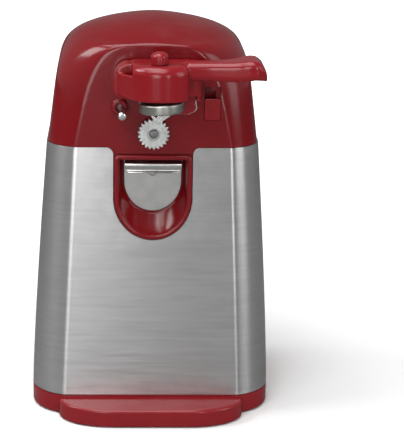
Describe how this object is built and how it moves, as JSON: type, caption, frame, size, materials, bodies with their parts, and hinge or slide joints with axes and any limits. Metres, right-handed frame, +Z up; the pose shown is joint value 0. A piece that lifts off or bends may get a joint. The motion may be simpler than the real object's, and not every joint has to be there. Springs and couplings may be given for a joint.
{
  "type": "electric can opener",
  "caption": "Upright electric can opener with a steel-wrapped body, a domed head, a lever with blade and magnet over a toothed wheel, and a bottle opener.",
  "frame": {"origin": "on the surface the opener stands on, under the middle of its bounding box", "axes": "+Z up, -Y to the front with the cutting wheel, +X to the right with the lever's thumb pad"},
  "size_m": [0.13, 0.1268, 0.2121],
  "materials": {
    "red_plastic": "glossy",
    "brushed_steel": "brushed across",
    "bright_steel": "bright",
    "laminated_iron": "laminated",
    "copper_winding": "enamelled wire",
    "white_nylon": "moulded",
    "black_plastic": "moulded",
    "black_rubber": "matte",
    "sintered_bronze": "dull",
    "grey_stone": "rough",
    "ferrite": "dull"
  },
  "bodies": {
    "body": {"base_tray": "red_plastic", "foot_pad_1": "black_rubber", "foot_pad_2": "black_rubber", "foot_pad_3": "black_rubber", "foot_pad_4": "black_rubber", "base_screw_1": "bright_steel", "base_screw_2": "bright_steel", "base_screw_3": "bright_steel", "base_screw_4": "bright_steel", "steel_wrap": "brushed_steel", "front_housing": "red_plastic", "rear_housing": "red_plastic", "bottle_opener_bezel": "red_plastic", "opener_plate": "brushed_steel", "opener_lip": "bright_steel", "opener_screw": "bright_steel", "guide_boss": "red_plastic", "guide_pin": "bright_steel", "drive_bush": "sintered_bronze", "pivot_bush": "sintered_bronze", "gearbox_front_plate": "bright_steel", "gearbox_rear_plate": "bright_steel", "plate_spacer_1": "bright_steel", "plate_spacer_2": "bright_steel", "first_gear_pin": "bright_steel", "second_gear_pin": "bright_steel", "motor_stator": "laminated_iron", "motor_coil": "copper_winding", "motor_bracket": "bright_steel", "motor_rear_bush": "sintered_bronze", "switch_body": "black_plastic", "sharpener_guide": "black_plastic", "cord_grommet": "black_plastic"},
    "lever": {"lever_body": "red_plastic", "cutter_plate": "bright_steel", "cutting_blade": "bright_steel", "blade_screw": "bright_steel", "lever_pivot_pin": "bright_steel", "lever_cam": "bright_steel"},
    "magnet_holder": {"magnet_knob": "red_plastic"},
    "magnet": {"magnet_cup": "bright_steel", "magnet_disc": "ferrite"},
    "latch": {"release_latch": "red_plastic", "latch_keeper": "bright_steel"},
    "switch_button": {"switch_plunger": "black_plastic"},
    "motor": {"motor_rotor": "laminated_iron", "motor_shaft": "bright_steel", "motor_pinion": "bright_steel", "cooling_fan": "black_plastic", "sharpening_stone": "grey_stone"},
    "first_gear": {"first_reduction_gear": "white_nylon"},
    "second_gear": {"second_reduction_gear": "white_nylon"},
    "drive": {"drive_gear": "white_nylon", "drive_shaft": "bright_steel", "drive_wheel": "bright_steel"}
  },
  "joints": [
    {"name": "lever_pivot", "type": "hinge", "parent": "body", "child": "lever", "pos_m": [-0.013, -0.036, 0.188], "axis": [0, -1, 0], "range_deg": [-3, 22]},
    {"name": "magnet_float", "type": "slide", "parent": "lever", "child": "magnet_holder", "axis": [-0.0593, 0, 0.9982], "range_m": [0, 0.0006]},
    {"name": "magnet_spin", "type": "hinge", "parent": "magnet_holder", "child": "magnet", "pos_m": [0.0033, -0.0519, 0.1794], "axis": [-0.0593, 0, 0.9982], "continuous": true},
    {"name": "latch_slide", "type": "slide", "parent": "body", "child": "latch", "axis": [0, 0, 1], "range_m": [0, 0.0052]},
    {"name": "switch_press", "type": "slide", "parent": "body", "child": "switch_button", "axis": [0, 0, 1], "range_m": [-0.0033, 0.0006]},
    {"name": "motor_spin", "type": "hinge", "parent": "body", "child": "motor", "pos_m": [0, 0, 0.10605], "axis": [0, -1, 0], "continuous": true},
    {"name": "first_gear_spin", "type": "hinge", "parent": "body", "child": "first_gear", "pos_m": [0.0036, -0.006, 0.1246], "axis": [0, -1, 0], "continuous": true},
    {"name": "second_gear_spin", "type": "hinge", "parent": "body", "child": "second_gear", "pos_m": [-0.018, -0.012, 0.1336], "axis": [0, -1, 0], "continuous": true},
    {"name": "drive_spin", "type": "hinge", "parent": "body", "child": "drive", "pos_m": [0, -0.03, 0.1576], "axis": [0, -1, 0], "continuous": true}
  ],
  "couplings": [
    {"joint": "switch_press", "follows": "lever_pivot", "m_per_rad": -0.008},
    {"joint": "first_gear_spin", "follows": "motor_spin", "ratio": -0.28571},
    {"joint": "second_gear_spin", "follows": "motor_spin", "ratio": 0.085714},
    {"joint": "drive_spin", "follows": "motor_spin", "ratio": -0.028571}
  ]
}
